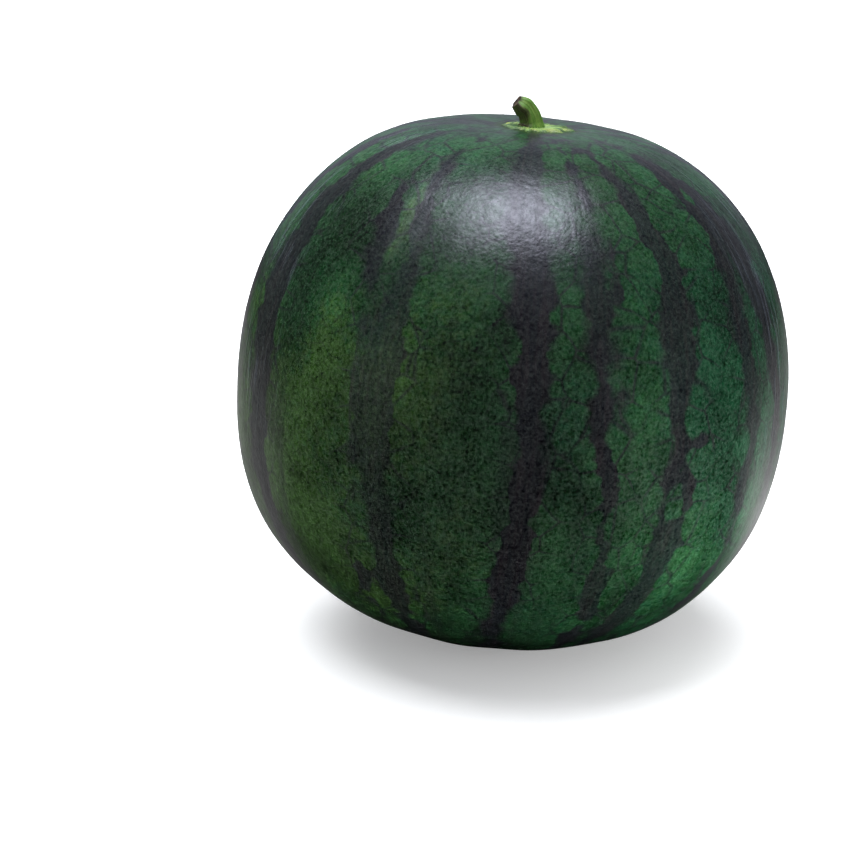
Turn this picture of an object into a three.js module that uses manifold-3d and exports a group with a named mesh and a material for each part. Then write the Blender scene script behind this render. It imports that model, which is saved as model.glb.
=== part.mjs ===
// A whole round watermelon of the small icebox size, dark green and shallow ribbed, with the stub of its stem.
// It rests on a small flat spot under its weight, and its line from blossom end to stem leans a little to +X.
// Millimetres, +Z up. The origin is the bottom centre of the bounding box, on the surface that the melon rests on.
// Longitudes are counted from -Y, which is the front, towards +X.

import * as THREE from "three";
import { mergeVertices } from "three/addons/utils/BufferGeometryUtils.js";
import Module from "manifold-3d";

// The fruit's outline: half a superellipse above the widest level and another below it
const EQUATOR_RADIUS = 100;
const STEM_END_HEIGHT = 103.8; // widest level to the stem end, before its hollow
const BLOSSOM_END_HEIGHT = 92; // widest level to the blossom end, before its hollow
const STEM_END_SQUARENESS = 2.25; // 2 is an ellipse, and more has squarer shoulders
const BLOSSOM_END_SQUARENESS = 2.4;
const AXIS_LEAN = THREE.MathUtils.degToRad(4.4); // towards +X

// The unevenness of something grown: a widest level that is slightly oval, and one fuller shoulder
const OVAL = 0.6;
const OVAL_TURN = -1;
const FULL_SHOULDER = 0.8;
const FULL_SHOULDER_TURN = 1.75;

// Shallow ribs, with a dark groove between each two of them
const RIB_COUNT = 11;
const RIB_DEPTH = 0.5;
const FIRST_GROOVE = THREE.MathUtils.degToRad(3); // longitude of the groove that faces front

// The wide hollow at the stem end, with a pale raised collar that sends a short ray out along each rib
const STEM_HOLLOW_DEPTH = 6.6;
const STEM_HOLLOW_RADIUS = 40;
const COLLAR_RISE = 0.7;
const COLLAR_EDGE = 1.6; // width of the slope at its rim
const COLLAR_RADIUS = 8.5;
const COLLAR_RAY = 3.2;
const COLLAR_LONG_RAY = 2.6; // how much longer the rays on its long side are
const COLLAR_LONG_SIDE = THREE.MathUtils.degToRad(60);
const COLLAR_STRETCH = 2.5; // further out to both sides than to the front and back

// The small hollow at the blossom end, with the corky scar that the flower leaves
const BLOSSOM_HOLLOW_DEPTH = 2.6;
const BLOSSOM_HOLLOW_RADIUS = 5.5;
const SCAR_RADIUS = 3.4;
const SCAR_RISE = 0.8;

// The flat spot: how far the round underside is pressed in, and the height over which it curves away
const FLAT_PRESS = 1.6;
const FLAT_BLEND = 0.6;

// The stem stub, ridged, a little flared at its foot and bent over to -X
const STEM_RIDGES = 5;
const STEM_RIDGE_DEPTH = 0.09; // as a share of the radius
const STEM_RADIUS = 4.2;
const STEM_CUT_RADIUS = 3.1;
const STEM_FOOT_RADIUS = 4.6;
const STEM_FOOT_HEIGHT = 2.5; // over which the foot narrows to the stem
const STEM_ASIDE = 1.1; // how far to -X of the collar's middle it stands
const STEM_RISE = 8.5; // collar to the middle of the cut
const STEM_REACH = 6; // how far it bends over
const STEM_ROOT = 4; // how far the uncut stem starts below the collar
const CUT_DISH = 0.5; // how far the middle of the cut has dried in
const CLEARANCE = 0.3; // between the stem's foot and the skin

// Fineness of the facets
const LONGITUDES = 88;
const COLLAR_ZONE = 20; // millimetres from the stem end that have fine rings
const COLLAR_RINGS = 16;
const SCAR_ZONE = 10; // and from the blossom end
const SCAR_RINGS = 7;
const WIDE_RINGS = 32; // between the two
const STEM_SIDES = 30;
const STEM_RINGS = 18;

const smooth = (low, high, x) => THREE.MathUtils.smoothstep(x, low, high);
const bell = (distance, width) => Math.exp(-((distance / width) ** 2));

// Distance from the middle of the widest level to the plain outline, at a polar angle from the stem end.
function outline(polar) {
  const upper = polar < Math.PI / 2;
  const height = upper ? STEM_END_HEIGHT : BLOSSOM_END_HEIGHT;
  const power = upper ? STEM_END_SQUARENESS : BLOSSOM_END_SQUARENESS;
  const across = Math.abs(Math.sin(polar)) / EQUATOR_RADIUS;
  const along = Math.abs(Math.cos(polar)) / height;
  return (across ** power + along ** power) ** (-1 / power);
}

// How far the pale collar reaches from the stem at a longitude.
function collarReach(longitude) {
  const ray = 0.5 - 0.5 * Math.cos(RIB_COUNT * (longitude - FIRST_GROOVE));
  const rayLength = COLLAR_RAY + COLLAR_LONG_RAY * Math.cos(longitude - COLLAR_LONG_SIDE);
  return COLLAR_RADIUS + rayLength * ray ** 2 + COLLAR_STRETCH * Math.sin(longitude) ** 2;
}

// Distance from the middle of the widest level to the skin, with all its relief.
function skinRadius(longitude, polar) {
  const plain = outline(polar);
  const fromAxis = plain * Math.sin(polar);
  const girth = Math.sin(polar) ** 2;
  const groove = Math.cos(RIB_COUNT * (longitude - FIRST_GROOVE));
  let radius = plain - RIB_DEPTH * groove * girth;
  radius += OVAL * Math.sin(2 * longitude + OVAL_TURN) * girth;
  radius += FULL_SHOULDER * Math.sin(longitude + FULL_SHOULDER_TURN) * Math.sin(2 * polar);
  if (polar < Math.PI / 2) {
    const collar = 1 - smooth(-COLLAR_EDGE / 2, COLLAR_EDGE / 2, fromAxis - collarReach(longitude));
    radius += COLLAR_RISE * collar - STEM_HOLLOW_DEPTH * bell(fromAxis, STEM_HOLLOW_RADIUS);
  } else {
    const scar = 1 - smooth(0.6 * SCAR_RADIUS, SCAR_RADIUS, fromAxis);
    radius += SCAR_RISE * scar - BLOSSOM_HOLLOW_DEPTH * bell(fromAxis, BLOSSOM_HOLLOW_RADIUS);
  }
  return radius;
}

// The polar angle of each ring, with the rings close together at the collar and the scar.
function ringAngles() {
  const collarEnd = COLLAR_ZONE / STEM_END_HEIGHT;
  const scarEnd = Math.PI - SCAR_ZONE / BLOSSOM_END_HEIGHT;
  const angles = [];
  for (let i = 0; i < COLLAR_RINGS; i++) angles.push((collarEnd * i) / COLLAR_RINGS);
  for (let i = 0; i < WIDE_RINGS; i++) angles.push(THREE.MathUtils.lerp(collarEnd, scarEnd, i / WIDE_RINGS));
  for (let i = 0; i <= SCAR_RINGS; i++) angles.push(THREE.MathUtils.lerp(scarEnd, Math.PI, i / SCAR_RINGS));
  return angles;
}

// The skin about its own upright axis, as a closed geometry, grown outwards by an even thickness.
function skinGeometry(thickness) {
  const angles = ringAngles();
  const latitudes = angles.length - 1;
  const geometry = new THREE.SphereGeometry(1, LONGITUDES, latitudes).rotateX(Math.PI / 2);
  geometry.deleteAttribute("normal");
  geometry.deleteAttribute("uv");
  const merged = mergeVertices(geometry, 1e-5);
  const point = new THREE.Vector3();
  const places = merged.getAttribute("position");
  for (let i = 0; i < places.count; i++) {
    point.fromBufferAttribute(places, i).normalize();
    const even = Math.acos(THREE.MathUtils.clamp(point.z, -1, 1));
    const polar = angles[Math.round((even / Math.PI) * latitudes)];
    const longitude = Math.atan2(point.x, -point.y);
    const radius = skinRadius(longitude, polar) + thickness;
    const fromAxis = radius * Math.sin(polar);
    places.setXYZ(i, fromAxis * Math.sin(longitude), -fromAxis * Math.cos(longitude), radius * Math.cos(polar));
  }
  return merged;
}

// The melon lies with its axis leaning, and its lowest point FLAT_PRESS under the resting surface.
function restingPlace() {
  const box = new THREE.Box3();
  const lean = new THREE.Matrix4().makeRotationY(AXIS_LEAN);
  box.setFromBufferAttribute(skinGeometry(0).applyMatrix4(lean).getAttribute("position"));
  const middle = box.getCenter(new THREE.Vector3());
  const shift = new THREE.Matrix4().makeTranslation(-middle.x, -middle.y, -box.min.z - FLAT_PRESS);
  return shift.multiply(lean);
}

// The skin's underside is pressed to a flat spot that curves away smoothly at its edge.
function pressFlat(geometry) {
  const places = geometry.getAttribute("position");
  for (let i = 0; i < places.count; i++) {
    const z = places.getZ(i);
    if (z < FLAT_BLEND) places.setZ(i, z < -FLAT_BLEND ? 0 : (z + FLAT_BLEND) ** 2 / (4 * FLAT_BLEND));
  }
  return geometry;
}

// The line that the stem stub follows, from under the collar to the middle of its cut.
function stemLine(collarHeight) {
  return new THREE.CatmullRomCurve3([
    new THREE.Vector3(-STEM_ASIDE, 0, collarHeight - STEM_ROOT),
    new THREE.Vector3(-STEM_ASIDE, 0, collarHeight),
    new THREE.Vector3(-STEM_ASIDE - 0.06 * STEM_REACH, -0.02 * STEM_REACH, collarHeight + 0.3 * STEM_RISE),
    new THREE.Vector3(-STEM_ASIDE - 0.36 * STEM_REACH, -0.08 * STEM_REACH, collarHeight + 0.68 * STEM_RISE),
    new THREE.Vector3(-STEM_ASIDE - STEM_REACH, -0.2 * STEM_REACH, collarHeight + STEM_RISE),
  ]);
}

// The stem's radius at a share of its length and an angle round it, with its ridges and its flared foot.
function stemRadius(share, angle, length) {
  const above = share * length - STEM_ROOT;
  const foot = 1 - smooth(0, STEM_FOOT_HEIGHT, above);
  const plain = THREE.MathUtils.lerp(STEM_RADIUS, STEM_CUT_RADIUS, share);
  const ridge = 1 + STEM_RIDGE_DEPTH * Math.cos(STEM_RIDGES * angle);
  return (plain + (STEM_FOOT_RADIUS - plain) * foot ** 2) * ridge;
}

// The whole stem before its foot is cut to the skin: rings of points along its line, closed at both ends.
function stemGeometry(collarHeight) {
  const line = stemLine(collarHeight);
  const length = line.getLength();
  const frames = line.computeFrenetFrames(STEM_RINGS);
  const places = [];
  const faces = [];
  for (let ring = 0; ring <= STEM_RINGS; ring++) {
    const share = ring / STEM_RINGS;
    const middle = line.getPointAt(share);
    for (let side = 0; side < STEM_SIDES; side++) {
      const angle = (2 * Math.PI * side) / STEM_SIDES;
      const out = frames.normals[ring].clone().multiplyScalar(Math.cos(angle));
      out.addScaledVector(frames.binormals[ring], Math.sin(angle));
      places.push(...middle.clone().addScaledVector(out, stemRadius(share, angle, length)).toArray());
      if (ring === STEM_RINGS) continue;
      const next = (side + 1) % STEM_SIDES;
      const [a, b] = [ring * STEM_SIDES + side, ring * STEM_SIDES + next];
      faces.push(a, b, b + STEM_SIDES, a, b + STEM_SIDES, a + STEM_SIDES);
    }
  }
  const [foot, cut] = [places.length / 3, places.length / 3 + 1];
  places.push(...line.getPointAt(0).toArray());
  places.push(...line.getPointAt(1).addScaledVector(line.getTangentAt(1), -CUT_DISH).toArray());
  const last = STEM_RINGS * STEM_SIDES;
  for (let side = 0; side < STEM_SIDES; side++) {
    const next = (side + 1) % STEM_SIDES;
    faces.push(foot, next, side);
    faces.push(cut, last + side, last + next);
  }
  const geometry = new THREE.BufferGeometry();
  geometry.setAttribute("position", new THREE.Float32BufferAttribute(places, 3));
  return geometry.setIndex(faces);
}

const wasm = await Module();
wasm.setup();

function toSolid(geometry) {
  const vertProperties = new Float32Array(geometry.getAttribute("position").array);
  return new wasm.Manifold(
    new wasm.Mesh({ numProp: 3, vertProperties, triVerts: new Uint32Array(geometry.index.array) }),
  );
}

function toGeometry(solid) {
  const mesh = solid.getMesh();
  const geometry = new THREE.BufferGeometry();
  geometry.setAttribute("position", new THREE.Float32BufferAttribute(mesh.vertProperties, 3));
  return geometry.setIndex(new THREE.Uint32BufferAttribute(mesh.triVerts, 1));
}

function namedMesh(name, geometry, finish) {
  const mesh = new THREE.Mesh(geometry, new THREE.MeshStandardMaterial(finish));
  geometry.computeVertexNormals();
  mesh.name = name;
  return mesh;
}

function buildBody(place) {
  const geometry = pressFlat(skinGeometry(0).applyMatrix4(place));
  return namedMesh("melon_body", geometry, { color: 0x1d3a22, roughness: 0.38, metalness: 0 });
}

// The stem's foot is cut by the skin grown by the clearance, so that it follows the collar that it stands on.
function buildStem(place) {
  const collarHeight = skinRadius(0, 0);
  const whole = toSolid(stemGeometry(collarHeight));
  const stub = whole.subtract(toSolid(skinGeometry(CLEARANCE)));
  return namedMesh("stem_stub", toGeometry(stub).applyMatrix4(place), { color: 0x4f7a30, roughness: 0.6, metalness: 0 });
}

const watermelon = new THREE.Group();
const place = restingPlace();
watermelon.add(buildBody(place), buildStem(place));

export default watermelon;
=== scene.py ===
# A whole round watermelon, dressed over its solids: skin relief, stripes, pale collar, scar and stem stub.
# Metres throughout. The melon's own frame has its stem axis upright and its origin in the widest level,
# with longitudes counted from -Y, the front, towards +X. It leans and stands on its flat spot in the end.
import math
import random

import bpy
import numpy as np
from mathutils import Matrix, Vector


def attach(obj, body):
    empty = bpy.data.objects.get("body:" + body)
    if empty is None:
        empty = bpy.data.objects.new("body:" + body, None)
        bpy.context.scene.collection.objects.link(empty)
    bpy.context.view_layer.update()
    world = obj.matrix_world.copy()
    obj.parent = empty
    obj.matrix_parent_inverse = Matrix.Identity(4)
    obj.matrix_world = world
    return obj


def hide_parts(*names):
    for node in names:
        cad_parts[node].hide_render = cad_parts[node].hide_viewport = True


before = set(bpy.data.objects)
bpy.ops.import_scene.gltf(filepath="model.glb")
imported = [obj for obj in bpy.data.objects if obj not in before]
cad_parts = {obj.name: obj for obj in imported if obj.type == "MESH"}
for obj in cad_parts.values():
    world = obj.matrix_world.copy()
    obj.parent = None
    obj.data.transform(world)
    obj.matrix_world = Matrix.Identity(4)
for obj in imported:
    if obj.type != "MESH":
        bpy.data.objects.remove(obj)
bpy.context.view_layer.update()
print("frame loaded:", ", ".join(sorted(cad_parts)))


# Formulas in node trees

def arithmetic(operation):  # two methods for one sign: with the field on its left, and on its right
    def onLeft(field, other):
        return calc(field.tree, operation, field, other)

    def onRight(field, other):
        return calc(field.tree, operation, other, field)

    return onLeft, onRight


class Field:  # a node's output that takes part in formulas, in geometry and shader trees alike
    def __init__(self, tree, socket):
        self.tree = tree
        self.socket = socket

    __add__, __radd__ = arithmetic("ADD")
    __sub__, __rsub__ = arithmetic("SUBTRACT")
    __mul__, __rmul__ = arithmetic("MULTIPLY")
    __truediv__, __rtruediv__ = arithmetic("DIVIDE")
    __pow__, __rpow__ = arithmetic("POWER")

    def __neg__(self):
        return calc(self.tree, "MULTIPLY", self, -1.0)

    def __abs__(self):
        return calc(self.tree, "ABSOLUTE", self)


def wire(tree, socket, value):
    if isinstance(value, Field):
        tree.links.new(value.socket, socket)
    else:
        socket.default_value = value


def calc(tree, operation, *values):
    node = tree.nodes.new("ShaderNodeMath")
    node.operation = operation
    for socket, value in zip(node.inputs, values):
        wire(tree, socket, value)
    return Field(tree, node.outputs[0])


def newField(tree, kind, settings=None, **wires):  # a new node's first output, its inputs set by name
    node = tree.nodes.new(kind)
    for name, value in (settings or {}).items():
        setattr(node, name, value)
    for name, value in wires.items():
        socket = next(s for s in node.inputs if s.name.replace(" ", "") == name and s.enabled)
        wire(tree, socket, value)
    return Field(tree, node.outputs[0])


def sine(field):
    return calc(field.tree, "SINE", field)


def cosine(field):
    return calc(field.tree, "COSINE", field)


def larger(first, second):
    return calc(first.tree, "MAXIMUM", first, second)


def fromOrigin(x, y, z=0.0):
    return (x * x + y * y + z * z) ** 0.5


def bell(distance, width):  # 1 in the middle, falling to nothing past the width
    ratio = distance / width
    return calc(ratio.tree, "EXPONENT", -(ratio * ratio))


def smooth(low, high, field):  # 0 below low, 1 above high
    settings = {"interpolation_type": "SMOOTHSTEP"}
    return newField(field.tree, "ShaderNodeMapRange", settings, Value=field, FromMin=low, FromMax=high)


def lerp(share, start, end):
    return start + (end - start) * share


def split(vector):
    node = vector.tree.nodes.new("ShaderNodeSeparateXYZ")
    wire(vector.tree, node.inputs[0], vector)
    return [Field(vector.tree, output) for output in node.outputs]


def join(tree, x, y, z):
    return newField(tree, "ShaderNodeCombineXYZ", X=x, Y=y, Z=z)


def noise(vector, size, detail=2.0, roughness=0.5):  # from 0 to 1, with features of a size in metres
    values = {"Vector": vector, "Scale": 1.0 / size, "Detail": detail, "Roughness": roughness}
    return newField(vector.tree, "ShaderNodeTexNoise", **values)


def cells(vector, size, feature="F1"):  # distance from a cell's middle, or from its edge, in cells
    settings = {"feature": feature}
    return newField(vector.tree, "ShaderNodeTexVoronoi", settings, Vector=vector, Scale=1.0 / size)


def addVectors(first, second):
    node = first.tree.nodes.new("ShaderNodeVectorMath")
    wire(first.tree, node.inputs[0], first)
    wire(first.tree, node.inputs[1], second)
    return Field(first.tree, node.outputs[0])


# The melon's shape, the same in the geometry tree and in the rind's material

melonShape = {
    "equatorRadius": 0.1,
    "stemEndHeight": 0.1038,
    "blossomEndHeight": 0.092,
    "stemEndSquareness": 2.25,
    "blossomEndSquareness": 2.4,
    "axisLean": math.radians(4.4),
    "oval": 0.0006,
    "ovalTurn": -1.0,
    "fullShoulder": 0.0008,
    "fullShoulderTurn": 1.75,
    "ribCount": 11.0,
    "ribDepth": 0.0005,
    "firstGroove": math.radians(3),
    "stemHollowDepth": 0.0066,
    "stemHollowRadius": 0.04,
    "collarRise": 0.0007,
    "collarEdge": 0.0016,
    "collarRadius": 0.0085,
    "collarRay": 0.0032,
    "collarLongRay": 0.0026,
    "collarLongSide": math.radians(60),
    "collarStretch": 0.0025,
    "collarNoise": 0.5,  # no two rays are alike: noise of this size, times the next, plus the last
    "collarUneven": 2.2,
    "collarLeast": -0.3,
    "blossomHollowDepth": 0.0026,
    "blossomHollowRadius": 0.0055,
    "scarRadius": 0.0034,
    "scarRise": 0.0008,
    "scarTop": 0.6,  # the share of the scar's radius that is level
    "flatPress": 0.0016,
    "flatBlend": 0.0006,
}

skinDetail = {
    "segments": 352,
    "rings": 200,
    "endCrowding": 0.72,  # 0 spaces the rings evenly, more crowds them towards both ends
    "swellSize": 0.034,
    "swellDepth": 0.0007,
    "dimpleSize": 0.011,
    "dimpleDepth": 0.00018,
    "plainEnd": 0.008,  # the swellings and dimples fade in between these distances from the axis
    "fullSwell": 0.03,
    "wrinkleCount": 26.0,  # fine folds that fan out round the stem
    "wrinkleDepth": 0.00016,
    "wrinkleReach": 0.011,
}


def collarReach(shape, longitude):  # how far the pale collar reaches from the stem
    ray = 0.5 - 0.5 * cosine(shape["ribCount"] * (longitude - shape["firstGroove"]))
    rayLength = shape["collarRay"] + shape["collarLongRay"] * cosine(longitude - shape["collarLongSide"])
    side = sine(longitude)
    unit = join(longitude.tree, cosine(longitude), side, 0.0)
    uneven = noise(unit, shape["collarNoise"], 1.0) * shape["collarUneven"] + shape["collarLeast"]
    return shape["collarRadius"] + rayLength * ray * ray * uneven + shape["collarStretch"] * side * side


def skinRadius(shape, longitude, polar, place):  # from the middle of the widest level to the skin
    tree = longitude.tree
    below = calc(tree, "GREATER_THAN", polar, math.pi / 2)
    height = lerp(below, shape["stemEndHeight"], shape["blossomEndHeight"])
    power = lerp(below, shape["stemEndSquareness"], shape["blossomEndSquareness"])
    across = abs(sine(polar)) / shape["equatorRadius"]
    along = abs(cosine(polar)) / height
    plain = (across ** power + along ** power) ** (-1.0 / power)
    fromAxis = plain * sine(polar)
    girth = sine(polar) * sine(polar)
    groove = cosine(shape["ribCount"] * (longitude - shape["firstGroove"]))
    radius = plain - shape["ribDepth"] * groove * girth
    radius = radius + shape["oval"] * sine(longitude * 2.0 + shape["ovalTurn"]) * girth
    shoulder = sine(longitude + shape["fullShoulderTurn"]) * sine(polar * 2.0)
    radius = radius + shape["fullShoulder"] * shoulder

    half = shape["collarEdge"] * 0.5
    collar = 1.0 - smooth(-half, half, fromAxis - collarReach(shape, longitude))
    wrinkle = sine(longitude * shape["wrinkleCount"]) * bell(fromAxis, shape["wrinkleReach"])
    stemEnd = shape["collarRise"] * collar + shape["wrinkleDepth"] * wrinkle
    stemEnd = stemEnd - shape["stemHollowDepth"] * bell(fromAxis, shape["stemHollowRadius"])
    scar = 1.0 - smooth(shape["scarRadius"] * shape["scarTop"], shape["scarRadius"], fromAxis)
    blossomHollow = bell(fromAxis, shape["blossomHollowRadius"])
    blossomEnd = shape["scarRise"] * scar - shape["blossomHollowDepth"] * blossomHollow
    radius = radius + lerp(below, stemEnd, blossomEnd)

    away = smooth(shape["plainEnd"], shape["fullSwell"], fromAxis)
    swell = (noise(place, shape["swellSize"], 1.0) - 0.5) * shape["swellDepth"]
    dimple = (noise(place, shape["dimpleSize"], 2.0) - 0.5) * shape["dimpleDepth"]
    return radius + (swell + dimple) * away


def pointPlace(tree):
    return newField(tree, "GeometryNodeInputPosition")


def scaled(vector, factor):
    settings = {"operation": "SCALE"}
    return newField(vector.tree, "ShaderNodeVectorMath", settings, Vector=vector, Scale=factor)


def placed(skin, place):  # moves each point of the skin to its place
    return newField(skin.tree, "GeometryNodeSetPosition", Geometry=skin, Position=place)


def stored(skin, name, place):  # keeps a vector on each point of the skin
    settings = {"data_type": "FLOAT_VECTOR", "domain": "POINT"}
    values = {"Geometry": skin, "Name": name, "Value": place}
    return newField(skin.tree, "GeometryNodeStoreNamedAttribute", settings, **values)


def tilted(place, angle):
    settings = {"rotation_type": "Y_AXIS"}
    return newField(place.tree, "ShaderNodeVectorRotate", settings, Vector=place, Angle=angle)


def onItsSpot(skin, shape):  # stands the melon on the floor, with its lowest part pressed flat
    tree = skin.tree
    box = newField(tree, "GeometryNodeBoundBox", Geometry=skin).socket.node
    low = split(Field(tree, box.outputs["Min"]))
    high = split(Field(tree, box.outputs["Max"]))
    drop = join(tree, (low[0] + high[0]) * -0.5, (low[1] + high[1]) * -0.5, -(low[2] + shape["flatPress"]))
    skin = newField(tree, "GeometryNodeSetPosition", Geometry=skin, Offset=drop)
    x, y, z = split(pointPlace(tree))
    blend = shape["flatBlend"]
    lifted = larger(z + blend, 0.0)
    curved = lifted * lifted / (blend * 4.0)
    height = lerp(calc(tree, "LESS_THAN", z, blend), z, curved)
    return placed(skin, join(tree, x, y, height))


def skinTree(values):
    tree = bpy.data.node_groups.new("melonSkin", "GeometryNodeTree")
    tree.interface.new_socket(name="Geometry", in_out="OUTPUT", socket_type="NodeSocketGeometry")
    for name, value in values.items():
        kind = "NodeSocketInt" if isinstance(value, int) else "NodeSocketFloat"
        tree.interface.new_socket(name=name, in_out="INPUT", socket_type=kind)
    tree.interface.new_socket(name="rind", in_out="INPUT", socket_type="NodeSocketMaterial")
    inputs = tree.nodes.new("NodeGroupInput")
    shape = {name: Field(tree, inputs.outputs[name]) for name in [*values, "rind"]}

    segments, rings = shape["segments"], shape["rings"]
    skin = newField(tree, "GeometryNodeMeshUVSphere", Segments=segments, Rings=rings, Radius=1.0)
    x, y, z = split(pointPlace(tree))
    even = calc(tree, "ARCCOSINE", z)
    polar = even - shape["endCrowding"] * 0.5 * sine(even * 2.0)
    longitude = calc(tree, "ARCTAN2", x, -y)
    unit = join(tree, sine(polar) * sine(longitude), -(sine(polar) * cosine(longitude)), cosine(polar))
    radius = skinRadius(shape, longitude, polar, scaled(unit, shape["equatorRadius"]))
    skin = placed(skin, scaled(unit, radius))
    skin = stored(skin, "melonPlace", pointPlace(tree))  # for the rind's pattern
    skin = placed(skin, tilted(pointPlace(tree), shape["axisLean"]))
    skin = onItsSpot(skin, shape)
    skin = newField(tree, "GeometryNodeSetShadeSmooth", Geometry=skin)
    skin = newField(tree, "GeometryNodeRealizeInstances", Geometry=skin)
    skin = newField(tree, "GeometryNodeSetMaterial", Geometry=skin, Material=shape["rind"])
    outputs = tree.nodes.new("NodeGroupOutput")
    wire(tree, outputs.inputs[0], skin)
    return tree


def grow(name, tree, values):  # runs a geometry tree and keeps its result as a plain mesh
    holder = bpy.data.objects.new(name + "Holder", bpy.data.meshes.new(name + "Holder"))
    bpy.context.collection.objects.link(holder)
    modifier = holder.modifiers.new(name, "NODES")
    modifier.node_group = tree
    for item in tree.interface.items_tree:
        if item.in_out == "INPUT":
            modifier[item.identifier] = values[item.name]
    evaluated = holder.evaluated_get(bpy.context.evaluated_depsgraph_get())
    mesh = bpy.data.meshes.new_from_object(evaluated)
    bpy.data.objects.remove(holder)
    mesh.name = name
    piece = bpy.data.objects.new(name, mesh)
    bpy.context.collection.objects.link(piece)
    return piece


# Where the stripes run. Each has points down its length: latitude, longitude and half width, in degrees,
# with latitude 0 in the widest level and 90 at the stem. A half width below 0 is a gap in the stripe.

stripes = {
    "front": [
        (72, -2, 6), (62, -3, 6), (52, -2, 6), (42, 0, 6), (36, 1, 5.4), (30, 1.4, 3.8), (24, 3.2, 3.6),
        (18, 3.2, 3.9), (12, 3.4, 3.2), (6, 3.6, 3), (0, 3.6, 3), (-8, 3.6, 3), (-24, 1.6, 3.4),
        (-40, 0, 3),
    ],
    "frontRight": [
        (62, 15, 0.8), (50, 17, 1.8), (42, 15.6, 1.8), (36, 15, 2.8), (30, 15.2, 3.6), (26, 15.4, 2.8),
        (21, 16.8, 2.6), (17, 17.4, 3.2), (12, 16.6, 2.6), (8, 16.2, 2.6), (4, 17.6, 2.4), (0, 18.8, 1.8),
        (-6, 19.8, 1.3), (-12, 19.6, 1.6), (-20, 20.4, 1.9), (-35, 21, 2.6),
    ],
    "frontRightSpur": [(37.5, 21, -1.5), (34, 21, 2.8), (30.5, 21, -1)],
    "frontRightBlotch": [(19.5, 20.4, -1), (16.5, 20.6, 1.7), (13, 20.6, -1)],
    "right": [
        (72, 27, 1.5), (60, 29, 2.2), (50, 31.2, 3.2), (45, 34, 3), (40, 34.6, 2.9), (35, 34.5, 2.6),
        (30, 34.5, 3.6), (25, 34, 3.6), (20, 34.8, 4.4), (16.5, 35, 3.6), (13.5, 34, 2), (10, 34, 1.6),
        (7, 35, 1.9), (4.5, 36, 2.6), (2, 35, 2.2), (0, 34.6, 3.2), (-4, 35.4, 4), (-8, 35.6, 4),
        (-12, 35, 4), (-17, 34.6, 3.8), (-22, 33.8, 3.2), (-30, 33, 3), (-40, 30, 3),
    ],
    "rightSpur": [(8, 40, -1), (4.8, 39.5, 2), (2, 39.5, -1)],
    "farRight": [
        (60, 52, 2), (50, 54, 2.4), (40, 55, 2.4), (33, 53.5, 2.6), (27, 52.8, 3.4), (21, 53.5, 3.4),
        (14, 54.8, 2.4), (8, 55.6, 2.2), (2, 56.4, 1.8), (-6, 53.6, 2.2), (-12, 55, 1.2), (-20, 55, 1.3),
        (-40, 52, 2.2),
    ],
    "rightEdge": [
        (70, 52, 2.4), (52, 60, 4.4), (40, 63, 5.4), (30, 64.5, 4.8), (20, 66, 3.6), (8, 70, 2.6),
        (-30, 73, 3),
    ],
    "frontLeft": [
        (62, -33, 2.2), (54, -31.5, 2.4), (46, -29.5, 2), (40, -27.5, 2), (34, -27.3, 2.6), (27, -28, 3.6),
        (20, -28.5, 4.6), (12, -28.5, 5), (0, -28, 4.4), (-16, -26, 3), (-35, -24, 3.6),
    ],
    "leftBlotch": [
        (55, -42, -1), (50, -39.5, 2), (44, -37.6, 3), (38, -37, 3), (33, -35.6, 1.8), (27, -34, 1.3),
        (20, -32, 0.8),
    ],
    "left": [
        (72, -58, 2), (55, -64, 3.4), (40, -66, 5), (28, -65.5, 5.6), (14, -64.5, 4.6), (-10, -63, 4),
        (-40, -60, 3),
    ],
}

islands = {  # green spots that stripes flow round: latitude, longitude, half height and width, in degrees
    "right": (-6, 35.2, 3.6, 2),
    "frontLeft": (33.5, -31.6, 4, 1.3),
}

patches = {  # where the green is lighter, or darker below 0, some of them painted light and shade: the same four numbers, and by how much
    "leftLobe": (19, -41, 9, 6, 0.8),
    "leftMiddle": (16, -54, 18, 8, -0.3),
    # the next two: a lighter green streak along a ridge, partly its own colour and partly a painted glint
    "leftStreak": (46, -33, 9, 2.2, 1.1),
    "leftStreakEnd": (41, -28.5, 3, 2, 0.8),
    "leftStripe": (12, -28.5, 12, 6, 0.3),
    "leftShoulder": (38, -52, 12, 14, -0.4),
    "leftTopLow": (46, -38, 9, 12, -0.25),
    "leftTop": (54, -50, 9, 9, 0.3),
    "frontLeftLobe": (28, -18, 11, 6, -0.12),
    # painted shade: darker low on the front and left
    "lowLeft": (-5, -20, 22, 14, -0.15),
    "frontLobe": (21, -6, 16, 6, -0.3),
    "frontRightLobe": (12, 10, 16, 5, -0.25),
    "rightLobe": (18, 24, 13, 6, 0.2),
    "rightTop": (40, 26, 9, 5, -0.1),
    # the next three: painted light, lighter low on the right where light bounces up from the floor
    "lowRight": (-22, 46, 12, 10, 0.45),
    "lowFrontRight": (-12, 26, 9, 5, 0.2),
    "lowFarRight": (-20, 62, 10, 9, 0.4),
    "farRightLobe": (32, 46, 10, 5, -0.1),
    "rightMiddle": (18, 27, 10, 9, 0.2),
    # the next two: painted shade, darker low on the front
    "lowFront": (-14, 2, 14, 22, -0.2),
    "lowFrontLeft": (0, -14, 12, 12, -0.2),
    "sheenLobe": (48, -14, 12, 11, -0.45),
    "sheenLobeRight": (50, 9, 10, 5, -0.3),
}

faintness = {  # where green shows through the stripes: the same four numbers, and how much of it
    "frontLeft": (16, -29, 26, 9, 0.45),
    "frontLeftLow": (-24, -26, 20, 9, 0.3),
    "left": (30, -65, 45, 10, 0.12),
    "front": (55, -3, 12, 8, 0.25),
    "frontRight": (38, 16, 12, 6, 0.2),
    "right": (34, 34, 24, 7, 0.22),
    "farRight": (10, 56, 30, 7, 0.2),
    "lowRight": (-24, 34, 18, 9, 0.3),
    "lowFrontRight": (-20, 20, 14, 7, 0.3),
}

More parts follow.
